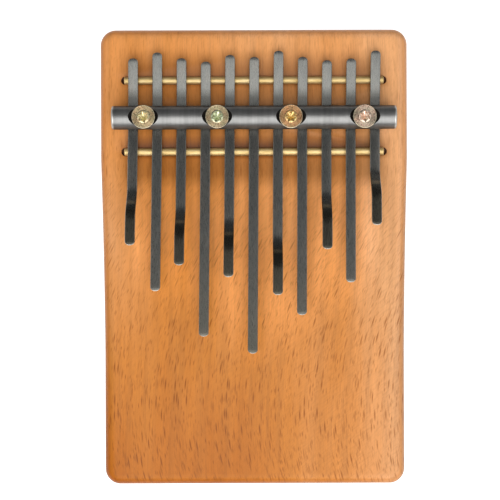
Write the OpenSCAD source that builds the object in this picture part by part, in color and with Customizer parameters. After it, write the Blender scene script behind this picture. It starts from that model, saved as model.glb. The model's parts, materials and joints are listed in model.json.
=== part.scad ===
// Mbira: eleven spring-steel tines clamped to a solid hardwood board.
// Frame: X across the board, Y from the playing end towards the clamped end, Z out of the playing face.
// The origin is the centre of the board's footprint, on the flat back that it rests on.

/* [Board] */
// Length of the board along Y
board_length = 177.7; // [170:0.1:190]
// Width across the shoulders, where the tines are clamped
shoulder_width = 120; // [116:0.5:130]
// Width across the waist, below the tines
waist_width = 117.1; // [112:0.1:120]
// Thickness of the board
board_thickness = 20; // [18:0.5:26]
// Corner radius in plan
corner_radius = 6; // [5.5:0.5:12]
// Radius of the rounded edges around both faces
edge_radius = 4.6; // [2:0.1:5]

/* [Bridge rods] */
// Diameter of the brass bridge rods
rod_diameter = 3; // [2.5:0.1:4]
// Length of the bridge rods
rod_length = 100.6; // [98:0.1:106]
// Depth of the groove that holds each rod
groove_depth = 1.3; // [0.8:0.1:1.6]
// Distance of the rear rod from the board's middle
rear_rod_y = 68.5; // [67:0.1:72]
// Distance of the front rod from the board's middle
front_rod_y = 40.8; // [38:0.1:42]

/* [Clamp bar] */
// Diameter of the round clamp bar
bar_diameter = 9; // [8:0.1:10]
// Length of the clamp bar
bar_length = 108.5; // [102:0.5:112]
// Distance of the clamp bar from the board's middle
bar_y = 53.3; // [52:0.1:55]
// Chamfer at each end of the bar
bar_chamfer = 0.5; // [0.2:0.1:1]
// How far the bar bends the tines down between the rods
bar_press = 1; // [0.8:0.1:1.1]

/* [Clamp screws] */
// Diameter of the countersunk screw heads
head_diameter = 9; // [8.4:0.1:9.4]
// Diameter over the screw threads
screw_diameter = 4.5; // [4:0.1:5]
// Overall length of a screw
screw_length = 25; // [22:0.5:27]
// Depth of the head's rim below the crest of the bar
head_sink = 0.75; // [0.5:0.05:1.2]

/* [Tines] */
// Width of a tine
tine_width = 3.8; // [3.4:0.1:3.9]
// Thickness of a tine
tine_thickness = 1.2; // [1:0.1:1.4]
// Distance between neighbouring tines
tine_pitch = 9.35; // [9:0.05:9.8]
// Angle by which the tips of the tines lean to the left of the board's axis
tine_lean = 0.5; // [0:0.1:0.8]
// Angle at which the playing parts rise from the front rod
play_rise = 5; // [3:0.5:7]
// Radius of the rounded tine ends in plan
tine_end_radius = 2; // [2:0.1:3]
// Height of the upward bend near the tip of every second tine
bend_height = 6.2; // [4:0.1:8]
// Length of that bend along the board
bend_length = 11.2; // [10:0.1:13]
// Length of the finger rest beyond the bend
rest_length = 10.5; // [9:0.1:12]
// Gap left between the tines and the rods or the bar, so that a tine can slide
slide_gap = 0.25; // [0.22:0.01:0.3]

/* [Hidden] */
$fn = 64;
TINES = 11;
SCREWS = 4;
// From the front rod to the tip, tine by tine from left to right
play_length = [36.3, 53.8, 43.9, 71.1, 48.4, 77.6, 55.2, 63.1, 38, 50.7, 28.9];
// From the rear rod to the tail end, tine by tine from left to right
tail_length = [8.1, 10.3, 8.1, 6.8, 9.3, 8.5, 10.8, 8.5, 7.2, 7.8, 10.8];

OVER = 1;

// Heights of the stack on the board
rod_z = board_thickness - groove_depth + rod_diameter / 2;
rod_top = rod_z + rod_diameter / 2;
tine_z = rod_top + slide_gap + tine_thickness / 2;
bar_z = tine_z - bar_press + tine_thickness / 2 + slide_gap + bar_diameter / 2;
head_z = bar_z + bar_diameter / 2 - head_sink;

// Board outline: the shoulders narrow to the waist between these two distances
waist_from_y = 38;
waist_to_y = -40;
WAIST_POWER = 1.6;
CORNER_STEPS = 6;
SIDE_STEPS = 20;
EDGE_STEPS = 6;

// Grooves for the rods
groove_slack = 0.1;
groove_width = rod_diameter + 2 * groove_slack;
groove_length = rod_length + 2.5;
rod_chamfer = 0.25;

// Screws
screw_pitch = 3 * tine_pitch;
head_rim = 0.35;
head_gap = 0.05;
thread_gap = 0.03;
core_radius = screw_diameter / 2 - 0.7;
thread_pitch = 2;
thread_start = 11.5;
tip_length = 3;
shank_clearance = 0.25;
star_depth = 2;
star_outer = 2.2;
star_cut = 0.9;
star_inner = 1.55;

// The joint between a tine's clamped part and its playing part
knuckle_radius = tine_thickness / 2 + 0.05;
knuckle_gap = 0.05;
BEND_STEPS = 16;
SAG_STEPS = 6;

function pad(k) = str(k < 10 ? "0" : "", k);
function clamped_name(k) = str("tine_", pad(k), "_clamped");
function playing_name(k) = str("tine_", pad(k), "_playing");
function screw_name(k) = str("clamp_screw_", k);

// ---- Board ----

// Half the board's width at a distance y from its middle
function half_width(y) =
    let (along = min(1, max(0, (y - waist_to_y) / (waist_from_y - waist_to_y))))
    (waist_width + (shoulder_width - waist_width) * pow(along, WAIST_POWER)) / 2;

// Points of a quarter circle of radius r around c, from angle a to a + 90
function corner(c, r, a) = [
    for (i = [0:CORNER_STEPS])
        c + r * [cos(a + 90 * i / CORNER_STEPS), sin(a + 90 * i / CORNER_STEPS)]
];

// Points up the right-hand side between the corners
function right_side(inset, reach) = [
    for (i = [1:SIDE_STEPS - 1])
        let (y = -reach + 2 * reach * i / SIDE_STEPS)
        [half_width(y) - inset, y]
];

// The board's outline, moved inwards by inset, anticlockwise
function board_outline(inset) =
    let (
        r = corner_radius - inset,
        reach = board_length / 2 - corner_radius,
        waist_x = half_width(-reach) - corner_radius,
        shoulder_x = half_width(reach) - corner_radius,
        right = right_side(inset, reach)
    )
    concat(
        corner([waist_x, -reach], r, 270),
        right,
        corner([shoulder_x, reach], r, 0),
        corner([-shoulder_x, reach], r, 90),
        [for (i = [len(right) - 1:-1:0]) [-right[i][0], right[i][1]]],
        corner([-waist_x, -reach], r, 180)
    );

// One ring of the board: [inset, height] at each step round its two rounded edges
board_rings = concat(
    [for (i = [0:EDGE_STEPS])
        let (a = 90 * i / EDGE_STEPS)
        [edge_radius * (1 - sin(a)), edge_radius * (1 - cos(a))]],
    [for (i = [0:EDGE_STEPS])
        let (a = 90 * i / EDGE_STEPS)
        [edge_radius * (1 - cos(a)), board_thickness - edge_radius * (1 - sin(a))]]
);

module board_body() {
    count = len(board_outline(0));
    rings = len(board_rings);
    points = [
        for (ring = board_rings)
            for (p = board_outline(ring[0])) [p[0], p[1], ring[1]]
    ];
    walls = [
        for (r = [0:rings - 2])
            for (i = [0:count - 1])
                let (j = (i + 1) % count)
                [r * count + i, (r + 1) * count + i, (r + 1) * count + j, r * count + j]
    ];
    underside = [for (i = [0:count - 1]) i];
    face = [for (i = [count - 1:-1:0]) (rings - 1) * count + i];
    polyhedron(points, concat([underside], walls, [face]), convexity = 4);
}

module groove(y) {
    reach = (groove_length - groove_width) / 2;
    translate([0, y, board_thickness - groove_depth]) {
        translate([-reach, -groove_width / 2, 0])
            cube([2 * reach, groove_width, groove_depth + OVER]);
        for (side = [-1, 1])
            translate([side * reach, 0, 0])
                cylinder(r = groove_width / 2, h = groove_depth + OVER);
    }
}

module board() {
    color("peru")
        difference() {
            board_body();
            groove(rear_rod_y);
            groove(front_rod_y);
            for (k = [1:SCREWS])
                at_screw(k) {
                    bore_floor = head_z - screw_length - OVER;
                    translate([0, 0, bore_floor])
                        cylinder(
                            r = screw_diameter / 2 + thread_gap,
                            h = board_thickness - bore_floor + OVER
                        );
                }
        }
}

// ---- Bridge rods ----

// A round bar along X, centred on the origin, with a chamfer at each end
module turned_bar(diameter, length, chamfer) {
    r = diameter / 2;
    rotate([0, 90, 0])
        rotate_extrude()
            polygon([
                [0, -length / 2],
                [r - chamfer, -length / 2],
                [r, -length / 2 + chamfer],
                [r, length / 2 - chamfer],
                [r - chamfer, length / 2],
                [0, length / 2]
            ]);
}

module bridge_rod(y) {
    color("goldenrod")
        translate([0, y, rod_z])
            turned_bar(rod_diameter, rod_length, rod_chamfer);
}

module rear_bridge_rod() {
    bridge_rod(rear_rod_y);
}

module front_bridge_rod() {
    bridge_rod(front_rod_y);
}

// ---- Clamp bar ----

module at_screw(k) {
    translate([(k - (SCREWS + 1) / 2) * screw_pitch, bar_y, 0])
        children();
}

// A cone that opens upwards at 45 degrees and matches the underside of a screw head
module countersink() {
    wide = head_diameter / 2 + head_gap + head_rim + head_sink + OVER;
    top = head_z + head_sink + OVER;
    translate([0, 0, top - wide])
        cylinder(r1 = 0, r2 = wide, h = wide);
}

module clamp_bar() {
    hole = screw_diameter / 2 + shank_clearance;
    color("dimgray")
        difference() {
            translate([0, bar_y, bar_z])
                turned_bar(bar_diameter, bar_length, bar_chamfer);
            for (k = [1:SCREWS])
                at_screw(k) {
                    translate([0, 0, bar_z - bar_diameter / 2 - OVER])
                        cylinder(r = hole, h = bar_diameter + 2 * OVER);
                    countersink();
                }
        }
}

// ---- Clamp screws ----

// Half profile of the screw, from its tip up to the top of its head
function screw_profile() =
    let (
        r = screw_diameter / 2,
        head_r = head_diameter / 2,
        rim_z = -head_rim,
        neck_z = rim_z - (head_r - r),
        tip_z = -screw_length,
        thread_top = -thread_start,
        turns = floor((screw_length - tip_length - thread_start) / thread_pitch)
    )
    concat(
        [[0, tip_z], [core_radius, tip_z + tip_length]],
        [for (i = [turns - 1:-1:0])
            let (low = thread_top - (i + 1) * thread_pitch)
            each [
                [core_radius, low + thread_pitch / 4],
                [r, low + thread_pitch / 2],
                [core_radius, low + thread_pitch * 3 / 4]
            ]],
        [[core_radius, thread_top], [r, thread_top + r - core_radius]],
        [[r, neck_z], [head_r, rim_z], [head_r, 0], [0, 0]]
    );

// The six-lobed driver recess
module star() {
    difference() {
        circle(r = star_outer);
        for (i = [0:5])
            rotate(60 * i)
                translate([star_inner + star_cut, 0])
                    circle(r = star_cut);
    }
}

module clamp_screw(k) {
    color("darkkhaki")
        at_screw(k)
            translate([0, 0, head_z])
                difference() {
                    rotate_extrude()
                        polygon(screw_profile());
                    translate([0, 0, -star_depth])
                        linear_extrude(height = star_depth + OVER)
                            star();
                }
}

// ---- Tines ----

// Tines with an even number are straight, the others bend up near the tip
function bends_up(k) = k % 2 == 1;

// Rise of the playing part at a distance s from the front rod
function playing_rise(k, s) =
    let (
        length = play_length[k - 1],
        bend_end = length - rest_length,
        bend_start = bend_end - bend_length,
        along = min(1, max(0, (s - bend_start) / bend_length)),
        bend = bends_up(k) ? bend_height * along * along * (3 - 2 * along) : 0
    )
    s * tan(play_rise) + bend;

// Side view of a strip: points on both sides of a middle line, half a thickness away from it
function strip_profile(line) =
    let (
        last = len(line) - 1,
        sides = [
            for (i = [0:last])
                let (
                    a = line[max(0, i - 1)],
                    b = line[min(last, i + 1)],
                    d = (b - a) / norm(b - a),
                    n = tine_thickness / 2 * [-d[1], d[0]]
                )
                [line[i] + n, line[i] - n]
        ]
    )
    concat(
        [for (i = [0:last]) sides[i][0]],
        [for (i = [last:-1:0]) sides[i][1]]
    );

// Places a side view, drawn as [distance along Y, height], as a strip of one tine's width
module strip(line) {
    translate([-tine_width / 2, 0, 0])
        rotate([90, 0, 90])
            linear_extrude(height = tine_width)
                polygon(strip_profile(line));
}

// Plan of a strip with round ends, between two distances along Y, taller than any tine
module rounded_plan(from_y, to_y) {
    lowest = board_thickness - OVER;
    tallest = 3 * bend_height;
    translate([0, 0, lowest])
        linear_extrude(height = tallest) {
            for (y = [from_y + tine_end_radius, to_y - tine_end_radius])
                translate([0, y])
                    circle(r = tine_end_radius);
            translate([-tine_end_radius, from_y + tine_end_radius])
                square([2 * tine_end_radius, to_y - from_y - 2 * tine_end_radius]);
        }
}

// A round crosswise piece on the axis about which a playing part flexes
module knuckle(radius, width) {
    translate([-width / 2, front_rod_y, tine_z])
        rotate([0, 90, 0])
            cylinder(r = radius, h = width);
}

module at_tine(k) {
    translate([(k - (TINES + 1) / 2) * tine_pitch, bar_y, 0])
        rotate([0, 0, -tine_lean])
            translate([0, -bar_y, 0])
                children();
}

// Height of a strip that the bar presses down, a share t of the way from the bar to a rod
function pressed_z(t) = tine_z - bar_press * (1 - 1.5 * t * t + 0.5 * t * t * t);

// The middle line of the clamped part: level under the bar, steepest at the rods, then straight
function clamped_line(k) =
    let (
        tail = tail_length[k - 1],
        rear_slope = 1.5 * bar_press / (rear_rod_y - bar_y)
    )
    concat(
        [for (i = [SAG_STEPS:-1:1])
            let (t = i / SAG_STEPS)
            [bar_y + (front_rod_y - bar_y) * t, pressed_z(t)]],
        [for (i = [0:SAG_STEPS])
            let (t = i / SAG_STEPS)
            [bar_y + (rear_rod_y - bar_y) * t, pressed_z(t)]],
        [[rear_rod_y + tail, tine_z + tail * rear_slope]]
    );

module tine_clamped(k) {
    color("slategray")
        at_tine(k) {
            intersection() {
                strip(clamped_line(k));
                rounded_plan(0, rear_rod_y + tail_length[k - 1]);
            }
            knuckle(knuckle_radius, tine_width);
        }
}

// The middle line of the playing part, from the tip to the front rod
function playing_line(k) =
    let (
        length = play_length[k - 1],
        bend_end = length - rest_length,
        bend_start = bend_end - bend_length,
        stations = bends_up(k)
            ? concat(
                [length],
                [for (i = [BEND_STEPS:-1:0]) bend_start + bend_length * i / BEND_STEPS],
                [0]
            )
            : [length, 0]
    )
    [for (s = stations) [front_rod_y - s, tine_z + playing_rise(k, s)]];

module tine_playing(k) {
    color("darkslategray")
        at_tine(k)
            difference() {
                intersection() {
                    strip(playing_line(k));
                    rounded_plan(front_rod_y - play_length[k - 1], bar_y);
                }
                knuckle(knuckle_radius + knuckle_gap, tine_width + 2 * OVER);
            }
}

board();
rear_bridge_rod();
front_bridge_rod();
clamp_bar();
for (k = [1:SCREWS])
    clamp_screw(k);
for (k = [1:TINES])
    tine_clamped(k);
for (k = [1:TINES])
    tine_playing(k);
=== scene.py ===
"""Looks of the mbira: a beech board, eleven spring-steel tines, brass rods, a steel bar and zinc screws.

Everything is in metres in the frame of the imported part: X across, Y towards the clamped end, Z up.
"""

import json
import math

import bmesh
import bpy
from mathutils import Matrix, Vector


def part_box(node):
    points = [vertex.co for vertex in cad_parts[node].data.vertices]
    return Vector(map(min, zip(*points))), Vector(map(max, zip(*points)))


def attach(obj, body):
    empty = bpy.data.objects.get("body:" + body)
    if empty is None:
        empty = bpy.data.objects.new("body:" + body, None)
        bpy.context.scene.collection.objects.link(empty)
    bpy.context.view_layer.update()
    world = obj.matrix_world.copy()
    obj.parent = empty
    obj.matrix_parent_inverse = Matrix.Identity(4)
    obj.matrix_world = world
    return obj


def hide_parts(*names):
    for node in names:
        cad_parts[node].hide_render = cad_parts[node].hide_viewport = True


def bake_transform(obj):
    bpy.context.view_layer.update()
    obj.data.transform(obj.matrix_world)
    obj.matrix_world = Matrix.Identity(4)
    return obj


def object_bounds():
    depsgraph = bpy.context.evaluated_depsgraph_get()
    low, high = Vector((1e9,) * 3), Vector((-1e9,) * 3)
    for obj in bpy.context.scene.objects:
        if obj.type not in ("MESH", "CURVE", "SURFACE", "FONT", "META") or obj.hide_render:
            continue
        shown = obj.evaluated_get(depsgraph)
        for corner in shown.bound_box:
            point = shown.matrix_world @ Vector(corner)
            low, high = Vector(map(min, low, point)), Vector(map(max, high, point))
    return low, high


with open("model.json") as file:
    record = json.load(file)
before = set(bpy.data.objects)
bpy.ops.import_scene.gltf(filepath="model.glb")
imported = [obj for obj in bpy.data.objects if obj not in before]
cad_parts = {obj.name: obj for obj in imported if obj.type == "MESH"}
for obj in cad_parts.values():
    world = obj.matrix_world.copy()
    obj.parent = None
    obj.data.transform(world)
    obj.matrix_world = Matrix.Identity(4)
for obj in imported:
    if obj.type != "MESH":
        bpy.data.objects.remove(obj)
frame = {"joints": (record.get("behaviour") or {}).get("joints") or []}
cad_low, cad_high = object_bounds()

MM = 0.001
TINES = range(1, 12)
SCREWS = range(1, 5)
RODS = ("rear_bridge_rod", "front_bridge_rod")
ROOT = "board_assembly"
JOINTS = {joint["name"]: joint for joint in frame["joints"]}

# ---- Sizes that the boxes of the CAD nodes don't give ----

# Board
CORNER_RADIUS = 6 * MM
EDGE_RADIUS = 4.6 * MM
WAIST_WIDTH = 117.1 * MM
WAIST_FROM_Y = 38 * MM
WAIST_TO_Y = -40 * MM
WAIST_POWER = 1.6
GROOVE_WIDTH = 3.2 * MM
GROOVE_END = 1.25 * MM
BOARD_BEVEL = 0.12 * MM

# Rods and bar
ROD_ROUNDING = 0.3 * MM
BAR_ROUNDING = 0.5 * MM
BAR_BEVEL = 0.1 * MM

# Screws
HEAD_RIM = 0.35 * MM
HEAD_GAP = 0.05 * MM
HEAD_ROUNDING = 0.22 * MM
SHANK_RADIUS = 2.25 * MM
CORE_RADIUS = 1.55 * MM
SHANK_CLEARANCE = 0.25 * MM
THREAD_GAP = 0.03 * MM
THREAD_PITCH = 2 * MM
THREAD_START = 11.5 * MM
POINT_LENGTH = 3 * MM
POINT_RADIUS = 0.05 * MM
STAR_DEPTH = 1.1 * MM
STAR_POINT = 2 * MM
STAR_OUTER = 2.2 * MM
STAR_INNER = 1.55 * MM
STAR_CUT = 0.9 * MM
RING_PITCH = 0.45 * MM
RING_DEPTH = 0.05 * MM
RING_MARGIN = 0.1 * MM
# The flat in the middle of a head, which the recess cuts away
MIDDLE_RADIUS = 0.2 * MM
# How far round each screw stands, in degrees
SCREW_TURN = [12, 47, 31, 5]

# Tines
TINE_WIDTH = 3.8 * MM
TINE_THICKNESS = 1.2 * MM
TINE_END = 1.6 * MM
TINE_ROUNDING = 0.25 * MM
END_POWER = 0.9
PLAY_RISE = math.radians(5)
BEND_LENGTH = 11.2 * MM
REST_LENGTH = 10.5 * MM
# How far each way a corner of the middle line is rounded, and the multiple of that at which the
# rounding's weights reach zero
EASING = 1.2 * MM
WEIGHT_REACH = 1.1

# How far a cutter reaches beyond what it cuts
OVER = 1 * MM
# The gap between the board and the floor
FLOOR_GAP = 0.05 * MM


# ---- Places, from the frame ----

def middle_y(node):
    low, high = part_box(node)
    return (low.y + high.y) / 2


def screw_axis(k):
    """A screw's place in plan and the lowest and highest points of its CAD node."""
    low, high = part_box(f"clamp_screw_{k}")
    return (low.x + high.x) / 2, middle_y(f"clamp_screw_{k}"), low.z, high.z


def head_radius(k):
    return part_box(f"clamp_screw_{k}")[1].x - screw_axis(k)[0]


def hinge_point(k):
    """The axis about which a tine's playing part bends, over the front rod."""
    return Vector(JOINTS[f"tine_{k:02d}_pluck"]["pos_m"])


def tailwards(k):
    """The direction along a tine, in plan, from its tip to its tail."""
    return Vector(JOINTS[f"tine_{k:02d}_tuning"]["axis"])


# ---- Meshes ----

def mesh_object(name, vertices, faces):
    mesh = bpy.data.meshes.new(name)
    mesh.from_pydata([tuple(v) for v in vertices], [], faces)
    mesh.validate()
    shape = bmesh.new()
    shape.from_mesh(mesh)
    bmesh.ops.recalc_face_normals(shape, faces=shape.faces)
    shape.to_mesh(mesh)
    shape.free()
    piece = bpy.data.objects.new(name, mesh)
    bpy.context.scene.collection.objects.link(piece)
    return piece


def smooth(piece, angle):
    """Shades a piece smooth, with sharp edges where its faces meet at more than angle degrees."""
    mesh = piece.data
    mesh.shade_smooth()
    mesh.set_sharp_from_angle(angle=math.radians(angle))


def apply_modifiers(piece):
    graph = bpy.context.evaluated_depsgraph_get()
    final = bpy.data.meshes.new_from_object(piece.evaluated_get(graph))
    piece.modifiers.clear()
    old = piece.data
    piece.data = final
    final.name = piece.name
    bpy.data.meshes.remove(old)


def cut(piece, cutters):
    """Subtracts closed meshes from a piece, and removes them."""
    for cutter in cutters:
        modifier = piece.modifiers.new("cut", "BOOLEAN")
        modifier.operation = "DIFFERENCE"
        modifier.solver = "EXACT"
        modifier.object = cutter
    apply_modifiers(piece)
    for cutter in cutters:
        bpy.data.objects.remove(cutter)


def bevel(piece, width, segments, angle):
    """Bevels the edges where a piece's faces meet at more than angle degrees."""
    modifier = piece.modifiers.new("bevel", "BEVEL")
    modifier.width = width
    modifier.segments = segments
    modifier.limit_method = "ANGLE"
    modifier.angle_limit = math.radians(angle)
    modifier.harden_normals = False
    apply_modifiers(piece)


def rings_to_faces(rings, count, closed_ends=True):
    """Faces of a loft through rings of count points each, the rings lying one after another."""
    faces = []
    for r in range(rings - 1):
        for i in range(count):
            j = (i + 1) % count
            faces.append((r * count + i, r * count + j, (r + 1) * count + j, (r + 1) * count + i))
    if closed_ends:
        faces.append(tuple(reversed(range(count))))
        faces.append(tuple(range((rings - 1) * count, rings * count)))
    return faces


def revolve(name, profile, segments, axis="Z"):
    """A solid of revolution from (radius, height) points that run up the axis."""
    vertices = []
    for radius, height in profile:
        for i in range(segments):
            a = 2 * math.pi * i / segments
            x, y = radius * math.cos(a), radius * math.sin(a)
            vertices.append((height, x, y) if axis == "X" else (x, y, height))
    return mesh_object(name, vertices, rings_to_faces(len(profile), segments))


def prism(name, outline, bottom, top):
    count = len(outline)
    vertices = [(x, y, z) for z in (bottom, top) for x, y in outline]
    return mesh_object(name, vertices, rings_to_faces(2, count))


def arc(centre, radius, start, sweep, steps):
    """Points of an arc in plan, its ends included. Angles are in degrees."""
    points = []
    for i in range(steps + 1):
        a = math.radians(start + sweep * i / steps)
        points.append((centre[0] + radius * math.cos(a), centre[1] + radius * math.sin(a)))
    return points


def rounded_corner(rounding, steps):
    """(inset, drop) pairs over a rounded edge, from the side up to the top face."""
    pairs = []
    for i in range(steps + 1):
        a = math.pi / 2 * i / steps
        pairs.append((rounding * (1 - math.cos(a)), rounding * (1 - math.sin(a))))
    return pairs


# ---- Board ----

board_low, board_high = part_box("board")
BOARD_TOP = board_high.z
SHOULDER_WIDTH = board_high.x - board_low.x


def half_width(y):
    along = min(1, max(0, (y - WAIST_TO_Y) / (WAIST_FROM_Y - WAIST_TO_Y)))
    return (WAIST_WIDTH + (SHOULDER_WIDTH - WAIST_WIDTH) * along ** WAIST_POWER) / 2


def board_outline(inset, corner_steps=14, side_steps=60):
    radius = CORNER_RADIUS - inset
    reach = board_high.y - CORNER_RADIUS
    waist = half_width(-reach) - CORNER_RADIUS
    shoulder = half_width(reach) - CORNER_RADIUS
    right = []
    for i in range(1, side_steps):
        y = -reach + 2 * reach * i / side_steps
        right.append((half_width(y) - inset, y))
    left = [(-x, y) for x, y in reversed(right)]
    return (arc((waist, -reach), radius, 270, 90, corner_steps) + right
            + arc((shoulder, reach), radius, 0, 90, corner_steps)
            + arc((-shoulder, reach), radius, 90, 90, corner_steps) + left
            + arc((-waist, -reach), radius, 180, 90, corner_steps))


def groove_cutter(rod, steps=24):
    """A milled slot with round ends, a little longer than its rod, under which it is flat."""
    low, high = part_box(rod)
    y = middle_y(rod)
    radius = GROOVE_WIDTH / 2
    reach = high.x + GROOVE_END - radius
    outline = arc((reach, y), radius, -90, 180, steps) + arc((-reach, y), radius, 90, 180, steps)
    return prism("groove_cutter", outline, low.z, BOARD_TOP + OVER)


def bore_cutter(k, steps=48):
    x, y, low, _ = screw_axis(k)
    outline = arc((x, y), SHANK_RADIUS + THREAD_GAP, 0, 360, steps)[:-1]
    return prism("bore_cutter", outline, low - OVER, BOARD_TOP + OVER)


def make_board(edge_steps=10):
    edge = rounded_corner(EDGE_RADIUS, edge_steps)
    rings = [(drop, inset) for inset, drop in edge] + [(inset, BOARD_TOP - drop) for inset, drop in edge]
    vertices = []
    for inset, z in rings:
        vertices += [(x, y, z) for x, y in board_outline(inset)]
    count = len(board_outline(0))
    board = mesh_object("beech_board", vertices, rings_to_faces(len(rings), count))
    cut(board, [groove_cutter(rod) for rod in RODS] + [bore_cutter(k) for k in SCREWS])
    bevel(board, BOARD_BEVEL, 2, 60)
    smooth(board, 40)
    return board


# ---- Rods and bar ----

def turned_ends(low, high, radius, rounding, steps=5):
    """Profile of a round bar between two distances along it, with rounded ends."""
    profile = [(radius - drop, low + inset) for inset, drop in rounded_corner(rounding, steps)]
    return profile + [(r, low + high - x) for r, x in reversed(profile)]


def make_rod(node):
    low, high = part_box(node)
    radius = (high.z - low.z) / 2
    rod = revolve(f"{node}_turned", turned_ends(low.x, high.x, radius, ROD_ROUNDING), 64, "X")
    rod.data.transform(Matrix.Translation((0, middle_y(node), low.z + radius)))
    smooth(rod, 50)
    return rod


def cone_cutter(k, steps=96):
    """The hole through the bar and the countersink over it."""
    x, y, _, top = screw_axis(k)
    bar_low, bar_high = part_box("clamp_bar")
    wide = head_radius(k) + HEAD_GAP
    hole_radius = SHANK_RADIUS + SHANK_CLEARANCE
    rim = top - HEAD_RIM
    above = bar_high.z + OVER
    profile = [
        (hole_radius, bar_low.z - OVER),
        (hole_radius, rim - (wide - hole_radius)),
        (wide + above - rim, above),
    ]
    cutter = revolve("cone_cutter", profile, steps)
    cutter.data.transform(Matrix.Translation((x, y, 0)))
    return cutter


def make_bar(segments=160, slices=220):
    low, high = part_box("clamp_bar")
    radius = (high.z - low.z) / 2
    ends = turned_ends(low.x, high.x, radius, BAR_ROUNDING)
    half = len(ends) // 2
    first, last = ends[half - 1][1], ends[half][1]
    middle = [(radius, first + (last - first) * i / slices) for i in range(1, slices)]
    bar = revolve("clamp_bar_turned", ends[:half] + middle + ends[half:], segments, "X")
    bar.data.transform(Matrix.Translation((0, middle_y("clamp_bar"), low.z + radius)))
    cut(bar, [cone_cutter(k) for k in SCREWS])
    bevel(bar, BAR_BEVEL, 2, 35)
    smooth(bar, 25)
    return bar


# ---- Screws ----

def star_outline(inset, steps=96):
    """The six-lobed recess: the circle of its lobes with six round scallops pressed into it."""
    points = []
    for i in range(steps):
        a = 2 * math.pi * i / steps
        near = (a + math.pi / 6) % (math.pi / 3) - math.pi / 6
        centre = STAR_INNER + STAR_CUT
        inside = STAR_CUT ** 2 - (centre * math.sin(near)) ** 2
        radius = STAR_OUTER
        if inside > 0:
            radius = min(radius, centre * math.cos(near) - math.sqrt(inside))
        points.append(((radius - inset) * math.cos(a), (radius - inset) * math.sin(a)))
    return points


def recess_cutter():
    """The six-lobed recess with a broken edge, tapered walls and a pointed floor."""
    wall_foot = (0.25 * MM, -STAR_DEPTH)
    wall_top = (0.10 * MM, -0.12 * MM)
    broken_edge = (-0.06 * MM, 0.04 * MM)
    rings = [wall_foot, wall_top, broken_edge, (broken_edge[0], OVER)]
    vertices = [(0, 0, -STAR_POINT)]
    for inset, z in rings:
        vertices += [(x, y, z) for x, y in star_outline(inset)]
    count = len(star_outline(0))
    faces = [(0, 1 + (i + 1) % count, 1 + i) for i in range(count)]
    for face in rings_to_faces(len(rings), count, closed_ends=False):
        faces.append(tuple(corner + 1 for corner in face))
    faces.append(tuple(range(1 + (len(rings) - 1) * count, 1 + len(rings) * count)))
    return mesh_object("recess_cutter", vertices, faces)


def head_profile(radius, steps=6):
    """The turned top of a screw head, from its rim to the middle, with fine tool rings."""
    profile = [(radius - inset, -drop) for inset, drop in rounded_corner(HEAD_ROUNDING, 4)]
    rings = int((radius - HEAD_ROUNDING - STAR_OUTER) / RING_PITCH)
    outer = radius - HEAD_ROUNDING - RING_MARGIN
    for i in range(rings * steps):
        depth = RING_DEPTH * (1 - math.cos(2 * math.pi * i / steps)) / 2
        profile.append((outer - RING_PITCH * i / steps, -depth))
    profile.append((MIDDLE_RADIUS, -RING_DEPTH / 2))
    return profile


def shank_profile(length, radius):
    """The screw from its point up to its head, with rings for the thread."""
    turns = int((length - POINT_LENGTH - THREAD_START) / THREAD_PITCH)
    profile = [(POINT_RADIUS, -length), (CORE_RADIUS, -length + POINT_LENGTH)]
    for i in reversed(range(turns)):
        base = -THREAD_START - (i + 1) * THREAD_PITCH
        profile += [
            (CORE_RADIUS, base + THREAD_PITCH / 4),
            (SHANK_RADIUS, base + THREAD_PITCH / 2),
            (CORE_RADIUS, base + THREAD_PITCH * 3 / 4),
        ]
    return profile + [
        (CORE_RADIUS, -THREAD_START),
        (SHANK_RADIUS, -THREAD_START + SHANK_RADIUS - CORE_RADIUS),
        (SHANK_RADIUS, -HEAD_RIM - (radius - SHANK_RADIUS)),
        (radius, -HEAD_RIM),
    ]


def make_screw(k, segments=96):
    x, y, low, top = screw_axis(k)
    profile = shank_profile(top - low, head_radius(k)) + head_profile(head_radius(k))
    screw = revolve(f"clamp_screw_{k}_zinc", profile, segments)
    cut(screw, [recess_cutter()])
    turn = Matrix.Rotation(math.radians(SCREW_TURN[k - 1]), 4, "Z")
    screw.data.transform(Matrix.Translation((x, y, top)) @ turn)
    smooth(screw, 30)
    return screw


# ---- Tines ----

def tine_height(k):
    """A tine's middle line: a function from distance to height, and the distances of its two ends.

    Distances run along the tine from the front rod, and are negative towards the tail.
    """
    hinge = hinge_point(k)
    tail_low, tail_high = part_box(f"tine_{k:02d}_clamped")
    tip_low, tip_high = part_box(f"tine_{k:02d}_playing")
    bar = hinge.y - middle_y("clamp_bar")
    rear = hinge.y - middle_y("rear_bridge_rod")
    tail, tip = hinge.y - tail_high.y, hinge.y - tip_low.y
    press = hinge.z - tail_low.z - TINE_THICKNESS / 2
    bent = k % 2 == 1
    bend_start = tip - REST_LENGTH - BEND_LENGTH
    half_top = TINE_THICKNESS / 2 * math.cos(PLAY_RISE)
    bend_height = tip_high.z - half_top - hinge.z - tip * math.tan(PLAY_RISE)

    def height(s):
        """The bar presses the strip down between the rods, and beyond the front rod it rises."""
        if s < 0:
            t = (bar - s) / (bar - rear) if s < bar else (s - bar) / -bar
            sag = 1 - 1.5 * t * t + 0.5 * t ** 3 if t < 1 else -1.5 * (t - 1)
            return hinge.z - press * sag
        z = hinge.z + s * math.tan(PLAY_RISE)
        if bent:
            along = min(1, max(0, (s - bend_start) / BEND_LENGTH))
            z += bend_height * along * along * (3 - 2 * along)
        return z

    def eased(s, samples=9):
        """The height with its corners rounded, as a bent strip has them."""
        steps = [EASING * (2 * i / (samples - 1) - 1) for i in range(samples)]
        weights = [1 - abs(step) / (EASING * WEIGHT_REACH) for step in steps]
        return sum(w * height(s + step) for w, step in zip(weights, steps)) / sum(weights)

    return eased, tail, tip


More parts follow.
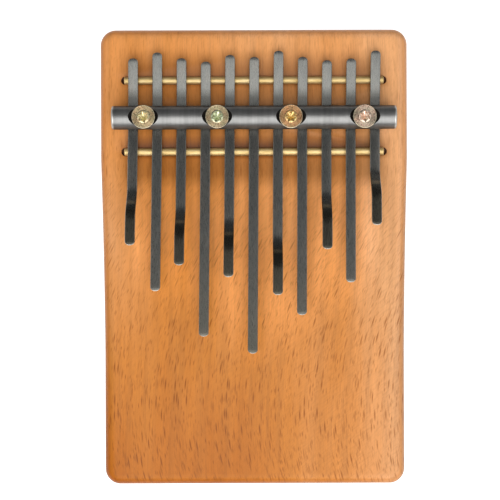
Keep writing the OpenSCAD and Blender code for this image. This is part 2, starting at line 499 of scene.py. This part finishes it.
def strip_half(inset, end_steps, stations, tail, tip):
    """Half the plan of a tine, inset from its edge: (distance, half width) pairs from tail to tip."""
    half, end = TINE_WIDTH / 2 - inset, TINE_END - inset
    curve = []
    for i in range(end_steps + 1):
        a = math.pi / 2 * i / end_steps
        curve.append((inset + end * (1 - math.cos(a) ** END_POWER), half * math.sin(a) ** END_POWER))
    return ([(tail + s, w) for s, w in curve] + [(s, half) for s in stations]
            + [(tip - s, w) for s, w in reversed(curve)])


def cap_faces(base, around):
    """Faces across a closed ring whose two halves mirror each other, from its first point."""
    faces = []
    for i in range(around // 2):
        left, right = base + (around - i) % around, base + (around - i - 1) % around
        corners = [base + i, base + i + 1, right, left]
        faces.append(tuple(dict.fromkeys(corners)))
    return faces


def make_tine(k, end_steps=8, edge_steps=4, spacing=0.7 * MM, slope_step=0.05 * MM):
    """One continuous strip from tail to tip, with rounded edges."""
    height, tail, tip = tine_height(k)
    first, last = tail + TINE_END, tip - TINE_END
    count = round((last - first) / spacing)
    stations = [first + (last - first) * i / count for i in range(1, count)]
    edge = rounded_corner(TINE_ROUNDING, edge_steps)
    rings = [(drop, inset - TINE_THICKNESS / 2) for inset, drop in edge]
    rings += [(inset, -lift) for inset, lift in reversed(rings)]
    hinge = hinge_point(k)
    across = Vector(JOINTS[f"tine_{k:02d}_pluck"]["axis"])
    forwards = -tailwards(k)
    vertices = []
    for inset, lift in rings:
        half = strip_half(inset, end_steps, stations, tail, tip)
        for s, w in half + [(s, -w) for s, w in reversed(half[1:-1])]:
            slope = (height(s + slope_step) - height(s - slope_step)) / (2 * slope_step)
            normal = (Vector((0, 0, 1)) - slope * forwards).normalized()
            middle = Vector((hinge.x, hinge.y, 0)) + s * forwards + Vector((0, 0, height(s)))
            vertices.append(middle + w * across + lift * normal)
    around = 2 * len(half) - 2
    faces = rings_to_faces(len(rings), around, closed_ends=False)
    faces += cap_faces(0, around)
    faces += [tuple(reversed(face)) for face in cap_faces((len(rings) - 1) * around, around)]
    tine = mesh_object(f"tine_{k:02d}_strip", vertices, faces)
    smooth(tine, 40)
    return tine


# ---- Materials ----
#
# The scales of textures are in cells per metre along X, Y and Z.

class Shader:
    """A material's node tree, built by short calls."""

    def __init__(self, name):
        self.material = bpy.data.materials.new(name)
        self.material.use_nodes = True
        self.tree = self.material.node_tree
        self.tree.nodes.clear()
        self.surface = self.add("ShaderNodeBsdfPrincipled")
        output = self.add("ShaderNodeOutputMaterial")
        self.tree.links.new(self.surface.outputs[0], output.inputs["Surface"])
        self.place = self.add("ShaderNodeTexCoord").outputs["Object"]

    def add(self, kind, **settings):
        node = self.tree.nodes.new(kind)
        for key, value in settings.items():
            setattr(node, key, value)
        return node

    def put(self, socket, value):
        """Links an output to a socket, or sets the socket's own value."""
        if isinstance(value, bpy.types.NodeSocket):
            self.tree.links.new(value, socket)
        else:
            socket.default_value = value

    def principled(self, **inputs):
        """Sets the surface's inputs, named with underscores for spaces."""
        for name, value in inputs.items():
            self.put(self.surface.inputs[name.replace("_", " ")], value)

    # Coordinates

    def axis(self, name, place=None):
        node = self.add("ShaderNodeSeparateXYZ")
        self.put(node.inputs[0], place or self.place)
        return node.outputs[name]

    def across(self):
        """The distance from the middle line of the board."""
        return self.size(self.axis("X"))

    def stretched(self, scale, turn=(0, 0, 0), place=None):
        """Coordinates multiplied by scale, after a turn."""
        node = self.add("ShaderNodeMapping")
        self.put(node.inputs["Vector"], place or self.place)
        self.put(node.inputs["Rotation"], turn)
        self.put(node.inputs["Scale"], scale)
        return node.outputs[0]

    def shifted(self, place, sideways):
        """Coordinates moved along X by a distance that may vary."""
        shift = self.add("ShaderNodeCombineXYZ")
        self.put(shift.inputs[0], sideways)
        total = self.add("ShaderNodeVectorMath", operation="ADD")
        self.put(total.inputs[0], place)
        self.put(total.inputs[1], shift.outputs[0])
        return total.outputs[0]

    # Numbers

    def maths(self, operation, *values):
        node = self.add("ShaderNodeMath", operation=operation)
        for socket, value in zip(node.inputs, values):
            self.put(socket, value)
        return node.outputs[0]

    def plus(self, a, b):
        return self.maths("ADD", a, b)

    def minus(self, a, b):
        return self.maths("SUBTRACT", a, b)

    def times(self, a, b):
        return self.maths("MULTIPLY", a, b)

    def size(self, a):
        """A number without its sign."""
        return self.maths("ABSOLUTE", a)

    def spread(self, value, low, high):
        """The value mapped from low..high to 0..1, clamped."""
        node = self.add("ShaderNodeMapRange")
        self.put(node.inputs["Value"], value)
        self.put(node.inputs["From Min"], low)
        self.put(node.inputs["From Max"], high)
        return node.outputs[0]

    def noise(self, place, detail=3.0, roughness=0.5):
        node = self.add("ShaderNodeTexNoise")
        self.put(node.inputs["Vector"], place)
        for name, value in (("Scale", 1.0), ("Detail", detail), ("Roughness", roughness)):
            self.put(node.inputs[name], value)
        return node.outputs["Fac"]

    # Colours

    def ramp(self, value, *stops):
        """A colour or grey level that runs through stops of (position, colour)."""
        node = self.add("ShaderNodeValToRGB")
        self.put(node.inputs[0], value)
        elements = node.color_ramp.elements
        while len(elements) < len(stops):
            elements.new(0.5)
        for element, (position, colour) in zip(elements, stops):
            element.position = position
            element.color = (*colour, 1) if isinstance(colour, tuple) else (colour, colour, colour, 1)
        return node.outputs[0]

    def mix(self, factor, a, b, blend="MIX"):
        node = self.add("ShaderNodeMix", data_type="RGBA", blend_type=blend)
        self.put(node.inputs[0], factor)
        self.put(node.inputs[6], a if isinstance(a, bpy.types.NodeSocket) else (*a, 1))
        self.put(node.inputs[7], b if isinstance(b, bpy.types.NodeSocket) else (*b, 1))
        return node.outputs[2]

    def tinted(self, colour, tint):
        """A colour multiplied by a tint, which is 1 where it changes nothing."""
        return self.mix(1.0, colour, tint, "MULTIPLY")

    def tinted_where(self, factor, colour, tint):
        return self.mix(factor, colour, self.tinted(colour, tint))

    # Relief

    def bump(self, height, strength, distance):
        node = self.add("ShaderNodeBump")
        self.put(node.inputs["Height"], height)
        self.put(node.inputs["Strength"], strength)
        self.put(node.inputs["Distance"], distance)
        return node.outputs[0]


NO_TINT = (1.0, 1.0, 1.0)
# How deep the fine lines, specks and pores of the materials are
METAL_RELIEF = 0.02 * MM
WOOD_RELIEF = 0.06 * MM


def screw_distance(shader):
    """The distance in plan from the nearest screw's axis."""
    first, y, _, _ = screw_axis(1)
    pitch = screw_axis(2)[0] - first
    across = shader.maths("PINGPONG", shader.minus(shader.axis("X"), first), pitch / 2)
    along = shader.minus(shader.axis("Y"), y)
    return shader.maths("SQRT", shader.plus(shader.times(across, across), shader.times(along, along)))


# ---- Beech ----

# Painted shade lies only between the ends of the grooves: none beyond the first distance from the
# board's middle line, and all of it inside the second
NO_SHADE_X = 54 * MM
ALL_SHADE_X = 46 * MM
# A broad field of painted shade starts and is full at these distances from the front rod, and is
# gone at FIELD_END behind the rear rod
FIELD_START = -14 * MM
FIELD_FULL = -9 * MM
FIELD_END = 12 * MM
FIELD_STRENGTH = 0.33
# A painted shadow line behind each rod, with the distance at which it is gone and its strength
SHADOW_LINES = (("front_bridge_rod", 6.5 * MM, 0.66), ("rear_bridge_rod", 13 * MM, 0.38))
# Such a line starts under its rod, is full just before it, and fades from LINE_FADE on
LINE_START = -3 * MM
LINE_FULL = -1 * MM
LINE_FADE = 2.5 * MM


def rod_shade(shader, mottle):
    """Painted shade on the wood: a broad field between the rods, and a narrow painted shadow line behind
    each rod.
    """
    y = shader.axis("Y")
    ends = shader.spread(shader.across(), NO_SHADE_X, ALL_SHADE_X)
    front, rear = middle_y("front_bridge_rod"), middle_y("rear_bridge_rod")
    field_front = shader.spread(y, front + FIELD_START, front + FIELD_FULL)
    field_rear = shader.spread(y, rear + FIELD_END, rear)
    depth = shader.times(shader.times(field_front, field_rear), FIELD_STRENGTH)
    for rod, reach, strength in SHADOW_LINES:
        behind = shader.minus(y, middle_y(rod))
        begins = shader.spread(behind, LINE_START, LINE_FULL)
        fades = shader.spread(behind, reach, LINE_FADE)
        depth = shader.plus(depth, shader.times(shader.times(fades, begins), strength))
    depth = shader.times(shader.times(depth, shader.plus(mottle, 0.5)), ends)
    return shader.ramp(depth, (0.0, NO_TINT), (0.5, (0.56, 0.50, 0.38)), (1.0, (0.22, 0.16, 0.03)))


def groove_shade(shader):
    """Nearly black painted shade in the grooves, which shows beyond the ends of the rods."""
    shallow, deep, slack = 0.08 * MM, 0.35 * MM, 0.3 * MM
    below = shader.spread(shader.axis("Z"), BOARD_TOP - shallow, BOARD_TOP - deep)
    inside = shader.maths("LESS_THAN", shader.across(), NO_SHADE_X)
    reach = GROOVE_WIDTH / 2 + slack
    near = []
    for rod in RODS:
        away = shader.size(shader.minus(shader.axis("Y"), middle_y(rod)))
        near.append(shader.maths("LESS_THAN", away, reach))
    # Painted shade below the top face, in the grooves
    hollow_shade = shader.times(shader.times(below, inside), shader.maths("MAXIMUM", *near))
    return shader.ramp(hollow_shade, (0.0, NO_TINT), (1.0, (0.12, 0.06, 0.03)))


def tine_gap_light(shader):
    """Paler wood under the playing tines, painted light against the shade that they cast: 1 there and 0
    elsewhere.

    Its lower end is a V like the tips of the tines, lowest at the board's middle line.
    """
    y, across, slant = shader.axis("Y"), shader.across(), 0.65
    lower_end = shader.spread(shader.minus(y, shader.times(across, slant)), -46 * MM, -26 * MM)
    upper_end = shader.spread(y, 33 * MM, 25 * MM)
    sides = shader.spread(across, 50 * MM, 45 * MM)
    return shader.times(shader.times(lower_end, upper_end), sides)


def wavering_grain(shader):
    """Coordinates in which the grain's lines run straight along Y, though on the board they waver."""
    wander = shader.noise(shader.stretched((9, 5, 9)), 2)
    return shader.shifted(shader.place, shader.times(shader.minus(wander, 0.5), 16 * MM))


def leaning(shader, place, straight_y, until_y, curve):
    """Coordinates sheared so that lines along Y lean more and more from straight_y to until_y."""
    along = shader.minus(shader.maths("MINIMUM", shader.axis("Y", place), until_y), straight_y)
    return shader.shifted(place, shader.times(shader.times(along, along), -curve))


def tone_and_painted_light(shader, bands):
    """How pale the wood is, 0 to 1: growth bands, and painted light to the right, towards the clamped end
    and along the sides.
    """
    x, y, across = shader.axis("X"), shader.axis("Y"), shader.across()
    # Painted light: paler towards the clamped end and to the right
    up = shader.plus(shader.times(shader.spread(y, -90 * MM, 10 * MM), 0.46),
                     shader.times(shader.spread(y, 40 * MM, 85 * MM), 0.20))
    right = shader.times(x, 3.2)
    mottle = shader.times(shader.minus(bands, 0.5), 0.9)
    paleness = shader.plus(shader.plus(up, right), shader.plus(mottle, 0.18))
    # Painted sheen along the sides except at the lower left, and painted light at the lower right corner
    sunlit = shader.times(shader.spread(shader.plus(x, y), -120 * MM, -50 * MM),
                          shader.spread(y, 80 * MM, 20 * MM))
    side_sheen = shader.times(shader.times(shader.spread(across, 36 * MM, 54 * MM), sunlit), 0.30)
    corner = shader.times(shader.spread(shader.minus(x, y), 75 * MM, 135 * MM), 0.22)
    return shader.plus(paleness, shader.plus(side_sheen, corner))


def edge_shade_and_highlight(shader):
    """Painted shade down the rounded edges, with a painted highlight band where they meet the playing face.
    """
    return shader.ramp(shader.spread(shader.axis("Z"), BOARD_TOP - EDGE_RADIUS, BOARD_TOP),
                       (0.0, (0.62, 0.56, 0.50)), (0.55, (0.80, 0.76, 0.70)),
                       (0.80, (0.90, 0.85, 0.80)), (0.92, (1.01, 1.05, 1.18)),
                       (0.98, (1.01, 1.03, 1.10)), (1.0, NO_TINT))


def light_along(shader):
    """A slow painted light gradient along the board, brightest at the clamped end."""
    return shader.ramp(shader.spread(shader.axis("Y"), -89 * MM, 89 * MM),
                       (0.0, (0.945, 0.96, 1.0)), (0.5, (0.955, 0.975, 1.01)), (1.0, (1.06, 1.07, 1.09)))


def with_rays(shader, grain, colour):
    """Adds fine slanting rays to a colour, clearest on the right of the playing end."""
    turned = shader.stretched((1, 1, 1), (0, 0, math.radians(48)), grain)
    rays = shader.noise(shader.stretched((1500, 230, 1500), place=turned), 3, 0.6)
    right_side = shader.times(shader.spread(shader.axis("X"), -30 * MM, 30 * MM),
                              shader.spread(shader.axis("Y"), 50 * MM, 10 * MM))
    strength = shader.plus(shader.times(right_side, 0.35), 0.25)
    return shader.tinted_where(strength, colour, shader.ramp(rays, (0.34, 0.84), (0.50, 1.0), (0.68, 1.05)))


def fleck_layer(shader, place, across, along, seed, density, sharp):
    """Short dark dashes along the grain: stretched cells, of which only some carry a dash."""
    cells = shader.add("ShaderNodeTexVoronoi", feature="F1")
    offset = shader.add("ShaderNodeMapping")
    shader.put(offset.inputs["Vector"], place)
    shader.put(offset.inputs["Location"], (seed, seed * 1.7, 0))
    shader.put(offset.inputs["Scale"], (across, along, along))
    shader.put(cells.inputs["Vector"], offset.outputs[0])
    shader.put(cells.inputs["Scale"], 1.0)
    shape = shader.spread(cells.outputs["Distance"], sharp, sharp * 0.3)
    chosen = shader.maths("GREATER_THAN", shader.axis("X", cells.outputs["Color"]), 1 - density)
    strength = shader.spread(shader.axis("Y", cells.outputs["Color"]), -0.4, 1.0)
    return shader.times(shader.times(shape, chosen), strength)


def wood_flecks(shader, grain):
    """Three kinds of ray fleck, strongest at the lower left and weakest at the clamped end."""
    patches = shader.spread(shader.noise(shader.stretched((14, 9, 14)), 2), 0.36, 0.60)
    low_end = shader.spread(shader.axis("Y"), 20 * MM, -75 * MM)
    left_end = shader.spread(shader.axis("X"), 50 * MM, -50 * MM)
    amount = shader.plus(shader.times(patches, 0.35), shader.times(shader.times(low_end, left_end), 0.75))
    slanted = leaning(shader, grain, straight_y=-55 * MM, until_y=30 * MM, curve=4.2)
    long = fleck_layer(shader, slanted, across=1200, along=170, seed=3.1, density=0.44, sharp=0.50)
    short = fleck_layer(shader, slanted, across=1500, along=360, seed=8.6, density=0.42, sharp=0.47)
    faint = fleck_layer(shader, slanted, across=1500, along=280, seed=5.3, density=0.5, sharp=0.42)
    flecks = shader.maths("MAXIMUM", long, shader.times(short, 0.75))
    flecks = shader.times(flecks, shader.plus(amount, 0.34))
    flecks = shader.maths("MAXIMUM", flecks, shader.times(faint, 0.24))
    calm = shader.spread(shader.axis("Y"), 75 * MM, 10 * MM)
    return shader.times(flecks, shader.plus(shader.times(calm, 0.7), 0.45))


def beech():
    """Oiled beech: fine pores along Y, soft growth bands, slanting rays and short dark flecks."""
    shader = Shader("oiled_beech")
    grain = wavering_grain(shader)
    bands = shader.noise(shader.stretched((38, 5, 38), place=grain), 4, 0.6)
    streaks = shader.noise(shader.stretched((420, 14, 420), place=grain), 4, 0.65)
    pores = shader.noise(shader.stretched((2600, 130, 2600), place=grain), 2, 0.6)
    flecks = wood_flecks(shader, grain)

    colour = shader.ramp(tone_and_painted_light(shader, bands),
                         (0.0, (0.40, 0.108, 0.004)), (0.35, (0.52, 0.177, 0.024)),
                         (0.65, (0.61, 0.240, 0.062)), (1.0, (0.68, 0.325, 0.130)))
    # Painted shade down the edges, near the rods and in the grooves, and painted light along the board
    for tint in (edge_shade_and_highlight(shader), rod_shade(shader, bands), groove_shade(shader), light_along(shader)):
        colour = shader.tinted(colour, tint)
    # Painted light: paler wood under the playing tines
    colour = shader.tinted_where(tine_gap_light(shader), colour, (1.30, 1.31, 1.40))
    colour = shader.tinted(colour, shader.ramp(streaks, (0.35, 0.88), (0.5, 0.99), (0.7, 1.06)))
    colour = shader.tinted(colour, shader.ramp(pores, (0.32, 0.90), (0.5, 1.0), (0.7, 1.04)))
    colour = with_rays(shader, grain, colour)
    colour = shader.mix(shader.maths("MINIMUM", flecks, 0.95), colour, (0.22, 0.058, 0.003))

    roughness = shader.plus(shader.times(streaks, 0.14), 0.34)
    normal = shader.bump(shader.minus(pores, shader.times(flecks, 0.8)), 0.25, WOOD_RELIEF)
    shader.principled(Base_Color=colour, Roughness=roughness, Normal=normal, Specular_IOR_Level=0.18)
    return shader.material


# ---- Metals ----

def metal(shader, colour, grain, roughest, smoothest, strength):
    """Sets a metal's surface, whose roughness and relief follow its grain. Gives its material."""
    roughness = shader.plus(shader.times(grain, roughest - smoothest), smoothest)
    normal = shader.bump(grain, strength, METAL_RELIEF)
    shader.principled(Base_Color=colour, Metallic=1.0, Roughness=roughness, Normal=normal)
    return shader.material


def brass():
    """Drawn brass rod, with fine lines along it and a little tarnish."""
    shader = Shader("drawn_brass")
    lines = shader.noise(shader.stretched((60, 5200, 5200)), 3, 0.6)
    tarnish = shader.noise(shader.stretched((160, 700, 700)), 4, 0.6)
    colour = shader.ramp(tarnish, (0.28, (0.48, 0.33, 0.13)), (0.50, (0.70, 0.53, 0.25)),
                         (0.75, (0.78, 0.63, 0.36)))
    return metal(shader, colour, lines, roughest=0.72, smoothest=0.56, strength=0.3)


def bar_steel():
    """Turned steel, brushed round the bar, so its lines lie across it. Its countersinks carry painted shade
    and its ends a painted highlight.
    """
    shader = Shader("brushed_bar_steel")
    lines = shader.noise(shader.stretched((7500, 90, 90)), 3, 0.7)
    wide_lines = shader.noise(shader.stretched((900, 30, 30)), 3, 0.6)
    stains = shader.noise(shader.stretched((120, 160, 160)), 4, 0.6)
    colour = shader.ramp(wide_lines, (0.3, (0.182, 0.181, 0.175)), (0.7, (0.232, 0.230, 0.222)))
    colour = shader.tinted(colour, shader.ramp(stains, (0.35, 0.84), (0.6, 1.0)))

    # Painted highlight: a lighter band at each end of the bar
    bar_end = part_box("clamp_bar")[1].x
    end_highlight = shader.spread(shader.across(), bar_end - 0.9 * MM, bar_end - 0.6 * MM)
    colour = shader.mix(end_highlight, colour, (0.50, 0.49, 0.46))

    # Painted shade: nearly black in the countersinks
    head_top = screw_axis(1)[3]
    cone_tip = head_top - HEAD_RIM - head_radius(1)
    over_cone = shader.minus(shader.axis("Z"), screw_distance(shader))
    countersink_shade = shader.spread(over_cone, cone_tip - 0.16 * MM, cone_tip - 0.08 * MM)
    colour = shader.mix(countersink_shade, colour, (0.02, 0.018, 0.016))
    shader.principled(Specular_Tint=(0.35, 0.35, 0.35, 1))
    return metal(shader, colour, lines, roughest=0.50, smoothest=0.34, strength=0.35)


# Where the heads' tints stand, from the first screw at 0 to the last at 1. The third screw is at
# two thirds, in the middle of a stretch of its own tint.
TINT_STOPS = (0.0, 0.33, 0.62, 0.70, 1.0)
HEAD_TINTS = ((0.37, 0.28, 0.16), (0.35, 0.28, 0.17), (0.37, 0.21, 0.10), (0.37, 0.21, 0.10),
              (0.38, 0.29, 0.22))
# Painted highlights in the driver recesses, brighter than the heads, each in its screw's own hue
RECESS_HIGHLIGHTS = ((0.82, 0.70, 0.42), (0.66, 0.70, 0.48), (0.84, 0.60, 0.26), (0.84, 0.60, 0.26),
                (0.86, 0.68, 0.55))


def zinc():
    """Yellow zinc plate: each head has its own tint, the driver recess is painted brighter as a highlight,
    and the rim has a painted highlight.
    """
    shader = Shader("yellow_zinc")
    tint = shader.noise(shader.stretched((700, 700, 700)), 3, 0.6)
    specks = shader.noise(shader.stretched((2400, 2400, 2400)), 3, 0.6)
    along = shader.spread(shader.axis("X"), screw_axis(1)[0], screw_axis(4)[0])
    head = shader.ramp(along, *zip(TINT_STOPS, HEAD_TINTS))
    # Painted highlight: the recess colour, brighter than the head
    recess = shader.ramp(along, *zip(TINT_STOPS, RECESS_HIGHLIGHTS))

    away = screw_distance(shader)
    colour = shader.mix(shader.spread(away, STAR_OUTER + 0.2 * MM, STAR_OUTER), head, recess)
    # Painted highlight: a lighter ring at the rim of each head
    rim = shader.spread(away, head_radius(1) - 0.35 * MM, head_radius(1) - 0.15 * MM)
    colour = shader.mix(rim, colour, (0.62, 0.54, 0.38))
    shimmer = shader.ramp(tint, (0.3, (0.88, 1.0, 0.95)), (0.5, NO_TINT), (0.7, (1.08, 0.92, 0.88)))
    colour = shader.tinted(colour, shimmer)
    colour = shader.tinted(colour, shader.ramp(specks, (0.38, 0.50), (0.60, 1.10)))
    return metal(shader, colour, specks, roughest=0.42, smoothest=0.18, strength=0.3)


# A painted highlight band lies where a bend is steepest. It begins, and is full, at these values of
# the Y of the direction that the strip's top faces.
BEND_HIGHLIGHT_FROM = 0.660
BEND_HIGHLIGHT_FULL = 0.671


def spring_steel():
    """Blue-grey spring steel strip with rolling lines along it, painted shade near the bar, on the raised
    bends and along the playing part, and painted highlights on the bends and tips.
    """
    shader = Shader("spring_steel")
    y, z = shader.axis("Y"), shader.axis("Z")
    lines = shader.noise(shader.stretched((4200, 70, 4200)), 3, 0.65)
    patches = shader.noise(shader.stretched((260, 90, 260)), 4, 0.6)
    colour = shader.ramp(patches, (0.32, (0.148, 0.149, 0.139)), (0.5, (0.169, 0.169, 0.157)),
                         (0.7, (0.188, 0.178, 0.159)))
    colour = shader.tinted(colour, shader.ramp(lines, (0.3, 0.88), (0.7, 1.08)))

    # Painted shade of the bar on the tines near it
    behind_bar = shader.size(shader.minus(y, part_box("clamp_bar")[1].y + 1.5 * MM))
    bar_shade = shader.ramp(shader.spread(behind_bar, 2 * MM, 6 * MM), (0.0, 0.45), (1.0, 1.0))
    colour = shader.tinted(colour, bar_shade)
    hinge = hinge_point(1)
    # Painted shade on the raised bends
    raised_shade = shader.spread(z, hinge.z + 3 * MM, hinge.z + 8 * MM)
    colour = shader.tinted(colour, shader.ramp(raised_shade, (0.0, NO_TINT), (1.0, (0.48, 0.45, 0.38))))
    # Painted shade along the playing part, darker towards the tip
    playing_shade = shader.spread(y, hinge.y - 2 * MM, hinge.y - 20 * MM)
    colour = shader.tinted(colour, shader.ramp(playing_shade, (0.0, 1.0), (1.0, 0.86)))

    # Painted highlight: a warm bright band on top where each bend is steepest
    facing = shader.add("ShaderNodeNewGeometry").outputs["Normal"]
    on_top = shader.maths("GREATER_THAN", shader.axis("Z", facing), 0.7)
    steepest = shader.spread(shader.axis("Y", facing), BEND_HIGHLIGHT_FROM, BEND_HIGHLIGHT_FULL)
    colour = shader.tinted_where(shader.times(steepest, on_top), colour, (2.5, 2.2, 1.8))
    ground_side = shader.spread(shader.size(shader.axis("X", facing)), 0.25, 0.75)
    colour = shader.mix(shader.times(ground_side, 0.45), colour, (0.62, 0.61, 0.57))
    # Bare ground steel at the tips, painted brighter as a highlight
    ground_tip_highlight = shader.spread(shader.axis("Y", facing), -0.15, -0.60)
    colour = shader.mix(shader.times(ground_tip_highlight, 0.9), colour, (0.85, 0.83, 0.78))
    return metal(shader, colour, lines, roughest=0.34, smoothest=0.22, strength=0.25)


# ---- Dressing the pieces, and putting all but the tines on the root body ----

def dress(piece, material, slot, *nodes):
    """Gives a piece its material and has it stand for its CAD nodes. The slot is not used."""
    piece.data.materials.clear()
    piece.data.materials.append(material)
    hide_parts(*nodes)
    return piece


def put_tine(k, material):
    """Makes a tine, gives it its material and has it stand for its two CAD nodes."""
    name = f"tine_{k:02d}"
    tine = dress(make_tine(k), material, "spring_steel", f"{name}_clamped", f"{name}_playing")
    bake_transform(tine)


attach(dress(make_board(), beech(), "wood", "board"), ROOT)
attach(dress(make_bar(), bar_steel(), "bar_steel", "clamp_bar"), ROOT)
brass_material = brass()
for rod in RODS:
    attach(dress(make_rod(rod), brass_material, "brass", rod), ROOT)
zinc_material = zinc()
for k in SCREWS:
    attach(dress(make_screw(k), zinc_material, "screw_zinc", f"clamp_screw_{k}"), ROOT)
spring_material = spring_steel()
for k in TINES:
    put_tine(k, spring_material)


# ---- Floor, light and camera ----

SKY_COLOUR = (0.95, 0.97, 1.0, 1)
SKY_STRENGTH = 0.17
SIDE_LIGHT_SIZE = (1.7, 0.9)
SIDE_LIGHT_DISTANCE = 1.0
SIDE_LIGHT_RADIANCE = 0.8
FRONT_CARD_SIZE = (0.9, 1.20)
FRONT_CARD_DISTANCE = 0.9
FRONT_CARD_RADIANCE = 3.45
FRONT_CARD_TILT = math.radians(32)


def pale_floor():
    """A pale sweep that glows round the board, so that no shadow shows on it."""
    shader = Shader("pale_floor")
    colour = shader.ramp(shader.noise(shader.stretched((3, 3, 3)), 2), (0.3, 0.50), (0.7, 0.53))
    away = shader.add("ShaderNodeVectorMath", operation="LENGTH")
    shader.put(away.inputs[0], shader.place)
    glow = shader.times(shader.spread(away.outputs["Value"], 0.30, 0.15), 0.85)
    shader.principled(Base_Color=colour, Roughness=0.8, Emission_Strength=glow)
    return shader.material


def make_floor(size=6.0):
    half = size / 2
    corners = [(-half, -half, 0), (half, -half, 0), (half, half, 0), (-half, half, 0)]
    floor = mesh_object("floor", corners, [(0, 1, 2, 3)])
    floor.data.materials.append(pale_floor())
    floor.location.z = cad_low.z - FLOOR_GAP


def softbox(name, direction, distance, size, radiance):
    """A rectangular light that faces the board from a direction, with a given brightness."""
    light = bpy.data.lights.new(name, "AREA")
    light.shape = "RECTANGLE"
    light.size, light.size_y = size
    light.energy = radiance * math.pi * size[0] * size[1]
    lamp = bpy.data.objects.new(name, light)
    bpy.context.scene.collection.objects.link(lamp)
    away = Vector(direction).normalized()
    lamp.location = Vector((0, 0, BOARD_TOP)) + away * distance
    lamp.rotation_mode = "QUATERNION"
    lamp.rotation_quaternion = away.to_track_quat("Z", "Y")


def studio():
    """A dim sky, a softbox on each side and a bright card over the front."""
    world = bpy.data.worlds.new("studio")
    bpy.context.scene.world = world
    world.use_nodes = True
    background = world.node_tree.nodes["Background"]
    background.inputs[0].default_value = SKY_COLOUR
    background.inputs[1].default_value = SKY_STRENGTH
    side = SIDE_LIGHT_DISTANCE, SIDE_LIGHT_SIZE, SIDE_LIGHT_RADIANCE
    softbox("left_softbox", (-1, 0, 0.9), *side)
    softbox("right_softbox", (1, 0, 1.0), *side)
    overhead = (0, -math.sin(FRONT_CARD_TILT), math.cos(FRONT_CARD_TILT))
    softbox("front_card", overhead, FRONT_CARD_DISTANCE, FRONT_CARD_SIZE, FRONT_CARD_RADIANCE)


def make_camera(distance=0.45, field=0.19625, aim=(-0.0017, 0.0026), roll=-0.185, sensor=36.0):
    """A camera straight above the board. The field is the width it sees at the board's rounded edge."""
    data = bpy.data.cameras.new("camera")
    data.sensor_width = sensor
    data.lens = sensor * distance / field
    data.clip_start = 0.01
    camera = bpy.data.objects.new("camera", data)
    bpy.context.scene.collection.objects.link(camera)
    camera.location = (*aim, BOARD_TOP - EDGE_RADIUS + distance)
    camera.rotation_euler.z = math.radians(roll)
    bpy.context.scene.camera = camera


make_floor()
studio()
make_camera()
bpy.context.scene.view_settings.view_transform = "Standard"
